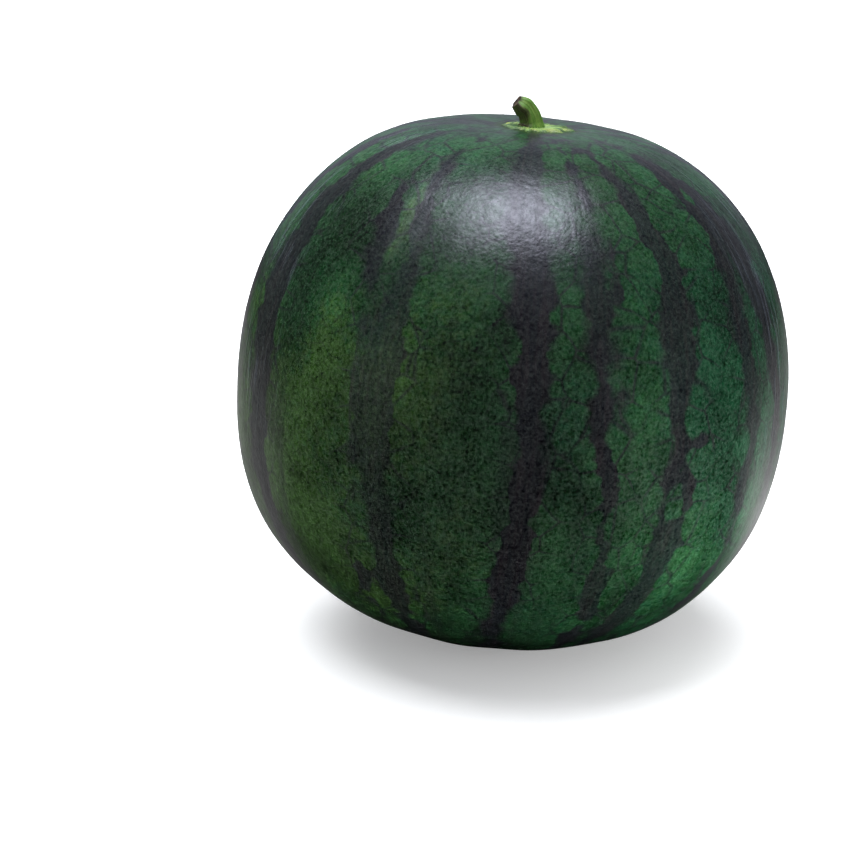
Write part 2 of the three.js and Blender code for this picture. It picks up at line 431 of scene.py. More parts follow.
stripeRule = {  # the far side's stripes, islands and patches are drawn at random within these limits
    "seed": 11,
    "from": 88.0,
    "to": 278.0,
    "count": 11,
    "halfWidth": (2.2, 4.6),
    "halfWidthRange": (0.35, 1.5),  # each point of a stripe has its half width times one of these
    "unevenSteps": 0.22,  # how far a stripe may stand from its even place, as a share of the step
    "wander": 2.0,
    "wanderBack": 0.25,
    "latitudes": (75, 62, 52, 43, 35, 27, 20, 13, 6, -1, -8, -15, -23, -32, -43, -58),
    "blending": 0.0012,  # metres over which stripes that meet flow together
    "leastFromAxis": 0.012,  # nearer the ends the stripes keep the width that they have here
    "farEnough": 0.06,
    "spotReach": 55.0,  # degrees of latitude
    "spotWidthRange": (0.7, 1.3),
    "spotStretch": (1.2, 2.2),
    "islands": (9, 2.0, (0,), 5),  # for a kind of spot: how many, half width, amounts to choose from, seed
    "patches": (26, 6.5, (-0.35, 0.25, 0.4), 8),
    "faintness": (7, 9.0, (0.2, 0.4), 21),
    "spotEdge": 0.8,
}


def farStripes(rule):
    draw = random.Random(rule["seed"])
    step = (rule["to"] - rule["from"]) / (rule["count"] - 1)
    for i in range(rule["count"]):
        middle = rule["from"] + i * step + draw.uniform(-rule["unevenSteps"], rule["unevenSteps"]) * step
        base = draw.uniform(*rule["halfWidth"])
        drift = 0.0
        points = []
        for latitude in rule["latitudes"]:
            drift += draw.uniform(-1, 1) * rule["wander"] - rule["wanderBack"] * drift
            points.append((latitude, middle + drift, base * draw.uniform(*rule["halfWidthRange"])))
        yield points


def farSpots(rule, kind):
    count, half, amounts, seed = rule[kind]
    draw = random.Random(seed)
    for i in range(count):
        latitude = draw.uniform(-rule["spotReach"], rule["spotReach"])
        longitude = draw.uniform(rule["from"], rule["to"])
        halfWidth = draw.uniform(*rule["spotWidthRange"]) * half
        halfHeight = halfWidth * draw.uniform(*rule["spotStretch"])
        yield latitude, longitude, halfHeight, halfWidth, draw.choice(amounts)


def skinDegrees(place):
    x, y, z = place.T
    fromAxis = np.hypot(x, y)
    return np.degrees(np.arctan2(z, fromAxis)), np.degrees(np.arctan2(x, -y)), fromAxis


def ovalReach(place, spot):  # 0 in the middle of an oval spot and 1 at its edge
    latitude, longitude, _ = skinDegrees(place)
    aside = (longitude - spot[1] + 180) % 360 - 180
    return np.hypot((latitude - spot[0]) / spot[2], aside / spot[3])


def stripeGap(place):  # metres from each point of the skin to the nearest stripe's edge, negative inside it
    latitude, longitude, fromAxis = skinDegrees(place)
    rule = stripeRule
    total = np.zeros(len(place))
    for points in [*stripes.values(), *farStripes(rule)]:
        levels, middles, halves = np.array(sorted(points), float).T
        middle = np.interp(latitude, levels, middles)
        half = np.interp(latitude, levels, halves)
        aside = np.abs((longitude - middle + 180) % 360 - 180)
        gap = np.radians(aside - half) * np.maximum(fromAxis, rule["leastFromAxis"])
        total += np.exp(-np.minimum(gap, rule["farEnough"]) / rule["blending"])
    gap = -rule["blending"] * np.log(total)
    for spot in [*islands.values(), *farSpots(rule, "islands")]:
        inside = (1 - ovalReach(place, spot)) * np.radians(spot[3]) * fromAxis
        gap = np.maximum(gap, inside)
    return gap


def spotted(place, spots):  # the sum of soft-edged oval spots at each point of the skin
    total = np.zeros(len(place))
    for spot in spots:
        total += spot[4] * np.exp(-stripeRule["spotEdge"] * ovalReach(place, spot) ** 3)
    return total


def addStripes(piece):
    mesh = piece.data
    place = np.empty(len(mesh.vertices) * 3, np.float32)
    mesh.attributes["melonPlace"].data.foreach_get("vector", place)
    place = place.reshape(-1, 3).astype(float)
    for name, values in (
        ("stripeGap", stripeGap(place)),
        ("lightness", spotted(place, [*patches.values(), *farSpots(stripeRule, "patches")])),
        ("faintness", spotted(place, [*faintness.values(), *farSpots(stripeRule, "faintness")])),
    ):
        mesh.attributes.new(name, "FLOAT", "POINT").data.foreach_set("value", values.astype(np.float32))


# The rind

rindLook = {
    # colours
    "yellowGreen": (0.026, 0.064, 0.013),
    "green": (0.013, 0.056, 0.018),
    "blueGreen": (0.0105, 0.054, 0.024),
    "stripe": (0.0095, 0.0115, 0.0135),
    "stripeWarm": (0.017, 0.0145, 0.0165),
    "speckle": (0.07, 0.085, 0.07),  # added or taken away by the finest grain
    "foldSilver": (0.032, 0.038, 0.05),  # a painted silvery reflection, added along the folds
    "collarPale": (0.17, 0.29, 0.07),
    "collarYellow": (0.4, 0.38, 0.05),
    "collarGreen": (0.02, 0.06, 0.02),
    # painted shadow, for the line just outside the collar
    "collarShadow": (0.014, 0.035, 0.006),
    "groundSpot": (0.14, 0.13, 0.045),
    "cork": (0.13, 0.085, 0.045),
    # the stripes' edges, moved by these many millimetres
    "thinning": 0.5,
    "lobeReach": 5.8,
    "smallLobeReach": 3.0,
    "raggedness": 1.8,
    "stripeWander": 5.0,
    "sharpEdge": 0.5,
    "softEdge": 2.4,  # more where the edge is blurred
    "softPlaces": (0.42, 0.66),  # places, here and below: an effect sets in as its noise rises through these
    "cuspRange": (2.0, 10.0),
    # sizes of the pattern's features, in metres
    "lobeSize": 0.0125,
    "smallLobeSize": 0.0046,
    "raggedSize": 0.0016,
    "wanderSize": 0.018,
    "softSize": 0.045,
    "swaySize": 0.02,
    "sway": 0.006,
    "shadeSize": 0.022,
    "smudgeSize": 0.014,
    "veinSize": 0.0075,
    "scaleSize": 0.0013,
    "grainSize": 0.0011,
    "blotchSize": 0.0028,
    "streakSize": 0.0022,
    "lengthwise": 0.11,  # how little a pattern that runs from end to end changes along its way
    # how strong its parts are
    "cellMiddle": 0.45,
    "cuspWidth": 0.036,
    "cuspDarkness": 0.85,
    "smudgePlaces": (0.5, 0.72),
    "smudgeDarkness": 0.5,
    "faintEven": 0.7,
    "faintRagged": 1.5,
    "shadePlaces": (0.36, 0.68),
    "shadeLight": 1.12,
    "shadeDepth": 0.5,
    "veinWidth": 0.045,
    "veinPlaces": (-0.00125, 0.00125),
    "veinDarkness": 0.22,
    "scaleDarkness": 0.32,
    "grainContrast": 0.8,
    # painted light: the green lighter towards the top, where light falls from above
    "topRange": (0.05, 0.09),
    "topLight": 0.15,
    "darkest": 0.12,
    "streakPlaces": (0.4, 0.75),
    "stripeBlotch": 1.1,
    "stripeLight": 1.2,
    "greenSpeckle": 0.85,
    "stripeSpeckle": -0.25,  # less in the stripes
    # the green's hue, from yellowish to bluish
    "hueFrom": -0.075,  # metres from the axis, across the melon
    "hueTo": 0.085,
    "hueRise": 1.0,  # and towards the stem, where the bluer green is partly the green's own hue and partly a painted bluish sheen
    "hueBack": 0.06,  # and back in the lighter patches
    "hueDriftSize": 0.05,
    "hueDrift": 0.16,
    "hueGrainSize": 0.0025,
    "hueGrain": 0.12,
    # folds along both sides, with a painted silvery reflection on them
    "foldSize": 0.0024,
    "foldPlaces": (0.5, 0.76),
    "foldSides": (0.77, 0.93),
    "foldOffStem": (0.02, 0.045),
    "foldAbove": (-0.03, 0.02),
    "foldPatchSize": 0.024,
    "foldPatches": (0.34, 0.56),
    # the collar
    "collarSpots": [(0.0055, -0.006, 0.0024), (-0.0106, 0.0012, 0.0019)],  # yellow: x, y and radius
    "stemHalf": (0.02, 0.04),  # metres above the widest level
    "fray": 0.003,
    "paleEdge": (-0.0012, 0.0008),
    "shadowOut": 0.0014,
    "shadowWidth": 0.0018,
    "shadowDarkness": 0.85,
    "yellowSize": 0.0045,
    "yellowPlaces": (0.58, 0.74),
    "yellowSide": 0.1,
    "yellowBesideSpots": 0.6,
    "yellowStrength": 0.8,
    "rayNoise": 0.17,
    "rayStretch": 30.0,
    "rayReach": 0.024,
    "sideReach": 0.004,
    "greenFrom": (0.0035, 0.0065),
    "rimIn": 0.0007,
    "rimWidth": 0.0008,
    "rimPaleness": 0.4,
    "greenStrength": 0.9,
    "lineSize": 0.0016,
    "lineTone": 0.75,
    "lineContrast": 0.5,
    # the ground spot and the scar
    "spotMiddle": Vector((0.03, 0.036, -0.082)),
    "spotEdge": (0.02, 0.05),
    "spotUneven": 0.03,
    "spotPatchSize": 0.02,
    "spotStrength": 0.75,
    "blossomHalf": (-0.05, -0.04),
    "corkEdge": (0.0028, 0.0046),
    "corkUneven": 0.002,
    "corkTone": 0.6,
    "corkGrain": 0.8,
    # gloss and fine relief, with heights in millimetres
    "roughness": 0.33,
    "unevenGloss": 0.14,
    "glossSize": 0.004,
    "dryRoughness": 0.25,
    "waxSize": 0.0024,
    "unevenWax": 0.9,
    "wrinkleSize": 0.006,
    "wrinkleHeight": 0.13,
    "foldHeight": 0.26,
    "pebbleSize": 0.0036,
    "pebbleHeight": 0.1,
    "scaleHeight": 0.045,
    "fineSize": 0.0007,
    "fineHeight": 0.035,
}


def mixed(tree, blend, share, start, end):  # two colours, each a triple or a colour field
    node = tree.nodes.new("ShaderNodeMix")
    node.data_type = "RGBA"
    node.blend_type = blend
    node.clamp_result = blend == "ADD"
    wire(tree, node.inputs[0], share)
    for socket, value in ((node.inputs[6], start), (node.inputs[7], end)):
        wire(tree, socket, value if isinstance(value, Field) else (*value, 1.0))
    return Field(tree, node.outputs[2])


def colour(share, start, end):  # a share of the way from one colour to another
    return mixed(share.tree, "MIX", share, start, end)


def brighten(tint, factor):  # a colour times a number that varies
    return mixed(factor.tree, "MULTIPLY", 1.0, tint, join(factor.tree, factor, factor, factor))


def shifted(tint, amount, step):  # a colour with an amount of another added to it
    added = join(tint.tree, *(amount * part for part in step))
    return mixed(tint.tree, "ADD", 1.0, tint, added)


def attribute(tree, name, output):
    node = tree.nodes.new("ShaderNodeAttribute")
    node.attribute_name = name
    return Field(tree, node.outputs[output])


def newMaterial(name, **sockets):  # a Principled BSDF with its plain values set
    material = bpy.data.materials.new(name)
    material.use_nodes = True
    shader = material.node_tree.nodes["Principled BSDF"]
    for socket, value in sockets.items():
        shader.inputs[socket.replace("_", " ")].default_value = value
    return material, material.node_tree, shader


def bumped(height, distance):
    return newField(height.tree, "ShaderNodeBump", Distance=distance, Height=height)


def grainGroup():  # the fine scales and grain that the rind, the stem and its cut end all have
    tree = bpy.data.node_groups.new("fineGrain", "ShaderNodeTree")
    for name, kind in (("Place", "Vector"), ("Scale Size", "Float"), ("Grain Size", "Float")):
        tree.interface.new_socket(name=name, in_out="INPUT", socket_type="NodeSocket" + kind)
    for name in ("Scales", "Grain"):
        tree.interface.new_socket(name=name, in_out="OUTPUT", socket_type="NodeSocketFloat")
    inputs = tree.nodes.new("NodeGroupInput")
    outputs = tree.nodes.new("NodeGroupOutput")
    place, scaleSize, grainSize = [Field(tree, output) for output in inputs.outputs[:3]]
    wire(tree, outputs.inputs["Scales"], cells(place, scaleSize))
    wire(tree, outputs.inputs["Grain"], noise(place, grainSize, 2.0, 0.7))
    return tree


def addGrain(group, place, scaleSize, grainSize):
    node = place.tree.nodes.new("ShaderNodeGroup")
    node.node_tree = group
    for socket, value in zip(node.inputs, (place, scaleSize, grainSize)):
        wire(place.tree, socket, value)
    return Field(place.tree, node.outputs["Scales"]), Field(place.tree, node.outputs["Grain"])


def fromMiddle(vector, size, detail=2.0, roughness=0.5):  # noise from -0.5 to 0.5
    return noise(vector, size, detail, roughness) - 0.5


def darkness(look, place, meridian, swayed, ragged):  # 1 in the stripes and 0 in the green
    tree = place.tree
    gap = attribute(tree, "stripeGap", "Fac") * 1000.0  # in millimetres
    faint = attribute(tree, "faintness", "Fac")

    # lobes of green push the stripes' edges back, and dark cusps run in between the lobes
    lobe = look["cellMiddle"] - cells(swayed, look["lobeSize"])
    smallLobe = look["cellMiddle"] - cells(swayed, look["smallLobeSize"])
    edge = gap + look["thinning"] + lobe * look["lobeReach"] + smallLobe * look["smallLobeReach"]
    edge = edge + ragged * look["raggedness"] + fromMiddle(place, look["wanderSize"]) * look["stripeWander"]
    blurred = smooth(*look["softPlaces"], noise(place, look["softSize"], 1.0))
    softness = look["sharpEdge"] + look["softEdge"] * blurred
    border = cells(swayed, look["lobeSize"], "DISTANCE_TO_EDGE")
    cusp = bell(border, look["cuspWidth"]) * (1.0 - smooth(*look["cuspRange"], edge))
    dark = larger(1.0 - smooth(-softness, softness, edge), cusp * look["cuspDarkness"])

    alongside = addVectors(meridian, (0.3, 0.0, 0.0))
    smudge = smooth(*look["smudgePlaces"], noise(alongside, look["smudgeSize"], 2.0))
    dark = larger(dark, smudge * look["smudgeDarkness"])
    return dark * (1.0 - faint * (look["faintEven"] + ragged * look["faintRagged"]))


def greenHue(look, place, x, z, lighter):  # yellowish on one side and bluish on the other
    # bluer towards the stem: partly the green's hue, partly painted sheen
    sideways = larger(x, z * look["hueRise"] + look["hueFrom"]) - lighter * look["hueBack"]
    across = sideways + fromMiddle(place, look["hueDriftSize"]) * look["hueDrift"]
    across = across + fromMiddle(place, look["hueGrainSize"]) * look["hueGrain"]
    middle = (look["hueFrom"] + look["hueTo"]) / 2
    green = colour(smooth(look["hueFrom"], middle, across), look["yellowGreen"], look["green"])
    return colour(smooth(middle, look["hueTo"], across), green, look["blueGreen"])


def greenTone(look, place, swayed, bend, scales, grain, blotch):  # the mottle: how light the green is
    shade = smooth(*look["shadePlaces"], noise(place, look["shadeSize"], 3.0))
    mottle = 1.0 - scales * look["scaleDarkness"] + (grain - 0.5) * look["grainContrast"] + blotch
    vein = bell(cells(swayed, look["veinSize"], "DISTANCE_TO_EDGE"), look["veinWidth"])
    vein = vein * smooth(*look["veinPlaces"], bend)
    return mottle * (look["shadeLight"] - look["shadeDepth"] * shade) - vein * look["veinDarkness"]


# fine folds on both sides: their relief is real, and the silver laid on them is painted reflection
def sideFoldsAndSheen(look, place, meridian, x, z, fromAxis):
    alongside = addVectors(meridian, (0.7, 0.0, 0.0))
    fold = smooth(*look["foldPlaces"], noise(alongside, look["foldSize"], 2.0))
    fold = fold * smooth(*look["foldSides"], abs(x) / fromAxis)
    fold = fold * smooth(*look["foldOffStem"], fromAxis) * smooth(*look["foldAbove"], z)
    return fold * smooth(*look["foldPatches"], noise(place, look["foldPatchSize"], 1.0))


def collarTint(look, place, meridian, longitude, fromAxis, reach):
    tree = place.tree
    x, y, _ = split(place)
    longSide = 0.5 + 0.5 * cosine(longitude - melonShape["collarLongSide"])
    patchy = noise(place, look["yellowSize"], 2.0) + (longSide - 0.5) * look["yellowSide"]
    yellow = smooth(*look["yellowPlaces"], patchy)
    for spotX, spotY, spotRadius in look["collarSpots"]:
        spot = bell(fromOrigin(x - spotX, y - spotY), spotRadius)
        yellow = larger(yellow * look["yellowBesideSpots"], spot)
    collar = colour(yellow * look["yellowStrength"], look["collarPale"], look["collarYellow"])
    fan = join(tree, cosine(longitude), sine(longitude), fromAxis * look["rayStretch"])
    outward = fromAxis - longSide * look["sideReach"] + fromMiddle(fan, look["rayNoise"]) * look["rayReach"]
    outward = smooth(*look["greenFrom"], outward) * (1.0 - yellow)
    rimLine = bell(fromAxis - reach + look["rimIn"], look["rimWidth"])
    outward = outward * (1.0 - rimLine * look["rimPaleness"]) * look["greenStrength"]
    collar = colour(outward, collar, look["collarGreen"])
    lines = noise(meridian, look["lineSize"], 2.0)
    return brighten(collar, look["lineTone"] + lines * look["lineContrast"])


def rindMaterial(grainNodes):
    look = rindLook
    material, tree, shader = newMaterial("rind")
    place = attribute(tree, "melonPlace", "Vector")
    lighter = attribute(tree, "lightness", "Fac")
    x, y, z = split(place)
    fromAxis = fromOrigin(x, y)
    longitude = calc(tree, "ARCTAN2", x, -y)
    girth = melonShape["equatorRadius"]
    meridian = join(tree, x / fromAxis * girth, y / fromAxis * girth, z * look["lengthwise"])
    scales, grain = addGrain(grainNodes, place, look["scaleSize"], look["grainSize"])
    bend = fromMiddle(place, look["swaySize"]) * look["sway"]
    swayed = addVectors(place, join(tree, bend, 0.0, bend))
    ragged = fromMiddle(place, look["raggedSize"], 3.0, 0.65)
    blotch = fromMiddle(place, look["blotchSize"], 2.0, 0.6)

    tone = greenTone(look, place, swayed, bend, scales, grain, blotch)
    # the green is painted lighter towards the top, as painted light from above
    tone = tone * (1.0 + lighter) * (1.0 + look["topLight"] * smooth(*look["topRange"], z))
    green = greenHue(look, place, x, z, lighter)
    green = brighten(green, larger(tone, look["darkest"]))

    streak = noise(meridian, look["streakSize"], 3.0, 0.6)
    charcoal = colour(smooth(*look["streakPlaces"], streak), look["stripe"], look["stripeWarm"])
    stripeTone = (1.0 + blotch * look["stripeBlotch"]) * (1.0 + look["stripeLight"] * lighter)
    charcoal = brighten(charcoal, stripeTone)
    dark = darkness(look, place, meridian, swayed, ragged)
    rind = colour(dark, green, charcoal)
    speckled = (grain - 0.5) * (look["greenSpeckle"] + look["stripeSpeckle"] * dark)
    rind = shifted(rind, speckled, look["speckle"])
    fold = sideFoldsAndSheen(look, place, meridian, x, z, fromAxis)
    # painted reflection: a silvery tint along the folds
    rind = shifted(rind, fold, look["foldSilver"])

    # the pale collar round the stem, with a painted shadow line outside it
    above = smooth(*look["stemHalf"], z)
    reach = collarReach(melonShape, longitude)
    frayed = fromAxis - reach + fromMiddle(place, look["fray"], 3.0) * look["fray"]
    pale = (1.0 - smooth(*look["paleEdge"], frayed)) * above
    # painted shadow: a dark ring just outside the collar's edge
    paintedShadowLine = bell(fromAxis - reach - look["shadowOut"], look["shadowWidth"]) * above
    rind = colour(paintedShadowLine * look["shadowDarkness"], rind, look["collarShadow"])
    rind = colour(pale, rind, collarTint(look, place, meridian, longitude, fromAxis, reach))

    # the paler ground spot under the melon, and the corky scar at the blossom end
    fromSpot = fromOrigin(*split(addVectors(place, -look["spotMiddle"])))
    fromSpot = fromSpot + fromMiddle(place, look["spotPatchSize"], 3.0) * look["spotUneven"]
    spot = 1.0 - smooth(*look["spotEdge"], fromSpot)
    rind = colour(spot * look["spotStrength"], rind, brighten(look["groundSpot"], tone))
    below = 1.0 - smooth(*look["blossomHalf"], z)
    corky = (1.0 - smooth(*look["corkEdge"], fromAxis + ragged * look["corkUneven"])) * below
    cork = brighten(look["cork"], look["corkTone"] + grain * look["corkGrain"])
    rind = colour(corky, rind, cork)
    wire(tree, shader.inputs["Base Color"], rind)

    gloss = look["roughness"] + fromMiddle(place, look["glossSize"], 3.0) * look["unevenGloss"]
    wire(tree, shader.inputs["Roughness"], gloss + (pale + corky) * look["dryRoughness"])
    wax = 0.5 + fromMiddle(place, look["waxSize"], 3.0, 0.65) * look["unevenWax"]
    wire(tree, shader.inputs["Specular IOR Level"], wax)
    relief = noise(meridian, look["wrinkleSize"], 2.0) * look["wrinkleHeight"] + fold * look["foldHeight"]
    relief = relief + noise(place, look["pebbleSize"], 2.0) * look["pebbleHeight"]
    relief = relief + (1.0 - scales) * look["scaleHeight"]
    relief = relief + noise(place, look["fineSize"], 1.0) * look["fineHeight"]
    wire(tree, shader.inputs["Normal"], bumped(relief, 0.001))
    return material


# The stem stub

stemShape = {
    "points": [
        (-0.0011, 0, -0.0015),
        (-0.0011, 0, 0),
        (-0.0015, -0.0001, 0.0025),
        (-0.0033, -0.0005, 0.0058),
        (-0.0071, -0.0012, 0.0085),
    ],
    "sides": 120,
    "rings": 90,
    "capRings": 8,
    "ridges": 5,
    "ridgeDepth": 0.09,
    "radius": 0.0042,
    "cutRadius": 0.0031,
    "footRadius": 0.0046,
    "footHeight": 0.0025,
    "cutDish": 0.0005,
    "endLength": 0.0045,  # the stem swells a little here and rounds off towards the cut
    "knuckle": 0.09,
    "endRounding": 0.2,
    "fluteDepth": 0.018,  # fine lines along the stem, as a share of the radius
    "fluteCount": 21,
    "cutLip": 0.00012,
    "lipWidth": 0.25,  # as a share of the cut's radius
}


def alongCurve(points, share):  # a smooth curve through the points
    knots = [Vector(p) for p in points]
    knots = [knots[0] * 2 - knots[1], *knots, knots[-1] * 2 - knots[-2]]
    stretch = min(share, 0.999999) * (len(points) - 1)
    i = int(stretch)
    t = stretch - i
    a, b, c, d = knots[i:i + 4]
    bend = 2 * a - 5 * b + 4 * c - d
    twist = 3 * b - a - 3 * c + d
    return 0.5 * (2 * b + (c - a) * t + bend * t ** 2 + twist * t ** 3)


def stemWidth(share, angle, length):
    s = stemShape
    above = min(max((share * length + s["points"][0][2]) / s["footHeight"], 0), 1)
    foot = 1 - above ** 2 * (3 - 2 * above)
    plain = s["radius"] + (s["cutRadius"] - s["radius"]) * share
    ridge = 1 + s["ridgeDepth"] * math.cos(s["ridges"] * angle)
    flute = 1 + s["fluteDepth"] * math.sin(s["fluteCount"] * angle + 2 * math.sin(3 * share + angle))
    toEnd = max(0, 1 - (1 - share) * length / s["endLength"])
    end = 1 + s["knuckle"] * math.sin(math.pi * min(1, toEnd * 1.2)) - s["endRounding"] * toEnd ** 3
    return (plain + (s["footRadius"] - plain) * foot ** 2) * ridge * flute * end


def makeStem(toWorld, collarHeight, material, cutMaterial):
    s = stemShape
    middles = [alongCurve(s["points"], i / (s["rings"] - 1)) for i in range(s["rings"])]
    length = sum((b - a).length for a, b in zip(middles, middles[1:]))
    vertices, faces = [], []
    normal = Vector((0, -1, 0))
    travelled = 0.0
    for i, middle in enumerate(middles):
        tangent = (middles[min(i + 1, s["rings"] - 1)] - middles[max(i - 1, 0)]).normalized()
        normal = (normal - tangent * normal.dot(tangent)).normalized()
        side = tangent.cross(normal)
        if i:
            travelled += (middle - middles[i - 1]).length
        for j in range(s["sides"]):
            angle = 2 * math.pi * j / s["sides"]
            out = normal * math.cos(angle) + side * math.sin(angle)
            vertices.append(middle + out * stemWidth(travelled / length, angle, length))
    rim = len(vertices) - s["sides"]
    for k in range(1, s["capRings"]):  # the cut end, dished with a low lip
        share = 1 - k / s["capRings"]
        lip = s["cutLip"] * math.sin(math.pi * min(1, (1 - share) / s["lipWidth"]))
        sink = s["cutDish"] * (1 - share ** 2) - lip
        for j in range(s["sides"]):
            edge = vertices[rim + j]
            vertices.append(middles[-1] + (edge - middles[-1]) * share - tangent * sink)
    rows = s["rings"] + s["capRings"] - 1
    for i in range(rows - 1):
        for j in range(s["sides"]):
            a, b = i * s["sides"] + j, i * s["sides"] + (j + 1) % s["sides"]
            faces.append((a, b, b + s["sides"], a + s["sides"]))
    foot, tip = len(vertices), len(vertices) + 1
    vertices += [middles[0], middles[-1] - tangent * s["cutDish"]]
    last = (rows - 1) * s["sides"]
    for j in range(s["sides"]):
        k = (j + 1) % s["sides"]
        faces.append((foot, k, j))
        faces.append((tip, last + j, last + k))
    mesh = bpy.data.meshes.new("stemStub")
    mesh.from_pydata(vertices, [], faces)
    place = mesh.attributes.new("stemPlace", "FLOAT_VECTOR", "POINT")
    for i in range(len(vertices)):
        row = min(i // s["sides"], s["rings"] - 1)
        angle = 2 * math.pi * (i % s["sides"]) / s["sides"]
        x, y = s["radius"] * math.cos(angle), s["radius"] * math.sin(angle)
        place.data[i].vector = (x, y, row / (s["rings"] - 1) * length)
    mesh.materials.append(material)
    mesh.materials.append(cutMaterial)
    for polygon in mesh.polygons:
        polygon.use_smooth = True
        onCut = min(polygon.vertices) >= rim and foot not in polygon.vertices
        polygon.material_index = 1 if onCut else 0
    mesh.transform(toWorld @ Matrix.Translation((0, 0, collarHeight)))
    piece = bpy.data.objects.new("stemStub", mesh)
    bpy.context.collection.objects.link(piece)
    return piece


stemLook = {
    "green": (0.1, 0.22, 0.025),
    "pale": (0.22, 0.37, 0.06),
    "brown": (0.045, 0.04, 0.014),
    # the foot's red-brown, partly painted shade
    "redBrown": (0.034, 0.014, 0.009),
    "cut": (0.02, 0.012, 0.007),
    "cutPale": (0.08, 0.05, 0.022),
    "scaleSize": 0.0009,
    "grainSize": 0.0007,
    "lineSize": 0.0009,
    "lengthwise": 0.15,  # how little the lines change along the stem
    "blotchSize": 0.004,
    "paleLines": (0.42, 0.72),
    "brownLines": (0.52, 0.8),
    "blotchShare": 0.3,  # how much of the browning comes in blotches, not in lines
    "brownGaps": (0.4, 0.6),
    "gapBrown": 0.75,
    "underBendSide": (0.45, -0.85),  # across the stem, towards the side that faces the cut and the front
    "underBend": (0.0004, 0.004),
    "bendBrown": 0.22,
    "nearCut": (0.0065, 0.0105),  # metres along the stem, as the next
    "atCut": (0.0115, 0.0132),
    "cutBrown": 0.3,
    "footShade": (0.0035, 0.0085),  # metres along the stem, over which the foot is painted darker: partly brown skin, partly painted shade
    "footPlaces": (0.3, 0.5),
    "footBrown": 0.9,
    "tone": 0.7,
    "grainContrast": 0.6,
    "roughness": 0.45,
    "unevenGloss": 0.25,
    "lineHeight": 0.12,  # millimetres, as the next two
    "blotchHeight": 0.05,
    "scaleDepth": 0.03,
    "fibreSize": 0.0006,
    "cutGrainSize": 0.0005,
    "drySize": 0.0018,
    "dryPlaces": (0.4, 0.65),
    "cutTone": 0.3,
    "fibreContrast": 0.8,
    "cutGrain": 0.4,
}


def stemMaterial(grainNodes):
    look = stemLook
    material, tree, shader = newMaterial("stem", Specular_IOR_Level=0.4)
    place = attribute(tree, "stemPlace", "Vector")
    x, y, z = split(place)
    scales, grain = addGrain(grainNodes, place, look["scaleSize"], look["grainSize"])
    lines = noise(join(tree, x, y, z * look["lengthwise"]), look["lineSize"], 3.0, 0.6)
    blotch = noise(place, look["blotchSize"], 3.0)
    tint = colour(smooth(*look["paleLines"], lines), look["green"], look["pale"])
    across, along = look["underBendSide"]
    # the side under the bend is browner: partly brown skin, partly painted shade
    underBend = smooth(*look["underBend"], x * across + y * along)
    nearCut = smooth(*look["nearCut"], z) * underBend + smooth(*look["atCut"], z)
    dryness = lerp(look["blotchShare"], lines, blotch) + underBend * look["bendBrown"]
    browned = smooth(*look["brownLines"], dryness + nearCut * look["cutBrown"])
    browned = browned * lerp(smooth(*look["brownGaps"], lines), look["gapBrown"], 1.0)
    tint = colour(browned, tint, look["brown"])
    # darker red-brown at the foot under the bend: partly brown skin, partly painted shade
    footShade = underBend * (1.0 - smooth(*look["footShade"], z)) * smooth(*look["footPlaces"], blotch)
    tint = colour(footShade * look["footBrown"], tint, look["redBrown"])
    tint = brighten(tint, look["tone"] + grain * look["grainContrast"])
    wire(tree, shader.inputs["Base Color"], tint)
    wire(tree, shader.inputs["Roughness"], look["roughness"] + blotch * look["unevenGloss"])
    relief = lines * look["lineHeight"] + blotch * look["blotchHeight"] - scales * look["scaleDepth"]
    wire(tree, shader.inputs["Normal"], bumped(relief, 0.001))
    return material


def cutMaterial(grainNodes):
    look = stemLook
    material, tree, shader = newMaterial("stemCut", Roughness=0.85)
    place = Field(tree, tree.nodes.new("ShaderNodeTexCoord").outputs["Object"])
    fibre, grain = addGrain(grainNodes, place, look["fibreSize"], look["cutGrainSize"])
    dry = noise(place, look["drySize"], 3.0)
    tint = colour(smooth(*look["dryPlaces"], dry), look["cut"], look["cutPale"])
    tone = look["cutTone"] + fibre * look["fibreContrast"] + grain * look["cutGrain"]
    wire(tree, shader.inputs["Base Color"], brighten(tint, tone))
    wire(tree, shader.inputs["Normal"], bumped(fibre, 0.0001))
    return material


# Putting it together

grainNodes = grainGroup()
rind = rindMaterial(grainNodes)
skinValues = {**melonShape, **skinDetail}
body = grow("melonSkin", skinTree(skinValues), {**skinValues, "rind": rind})
addStripes(body)
print("skin grown:", len(body.data.polygons), "faces")


def restingPlace(piece):  # from the melon's own frame to where it stands
    lean = Matrix.Rotation(melonShape["axisLean"], 4, "Y")
    own = piece.data.attributes["melonPlace"].data
    highest = max(range(len(own)), key=lambda i: own[i].vector.z)
    moved = piece.data.vertices[highest].co - lean @ own[highest].vector
    pole = max(v.vector.z for v in own if math.hypot(v.vector.x, v.vector.y) < 1e-5)
    return Matrix.Translation(moved) @ lean, pole


toWorld, collarHeight = restingPlace(body)
stem = makeStem(toWorld, collarHeight, stemMaterial(grainNodes), cutMaterial(grainNodes))
print("stem made:", len(stem.data.polygons), "faces")

for piece, node, slot in ((body, "melon_body", "rind"), (stem, "stem_stub", "stem")):
    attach(piece, "root")
    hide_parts(node)


# The studio

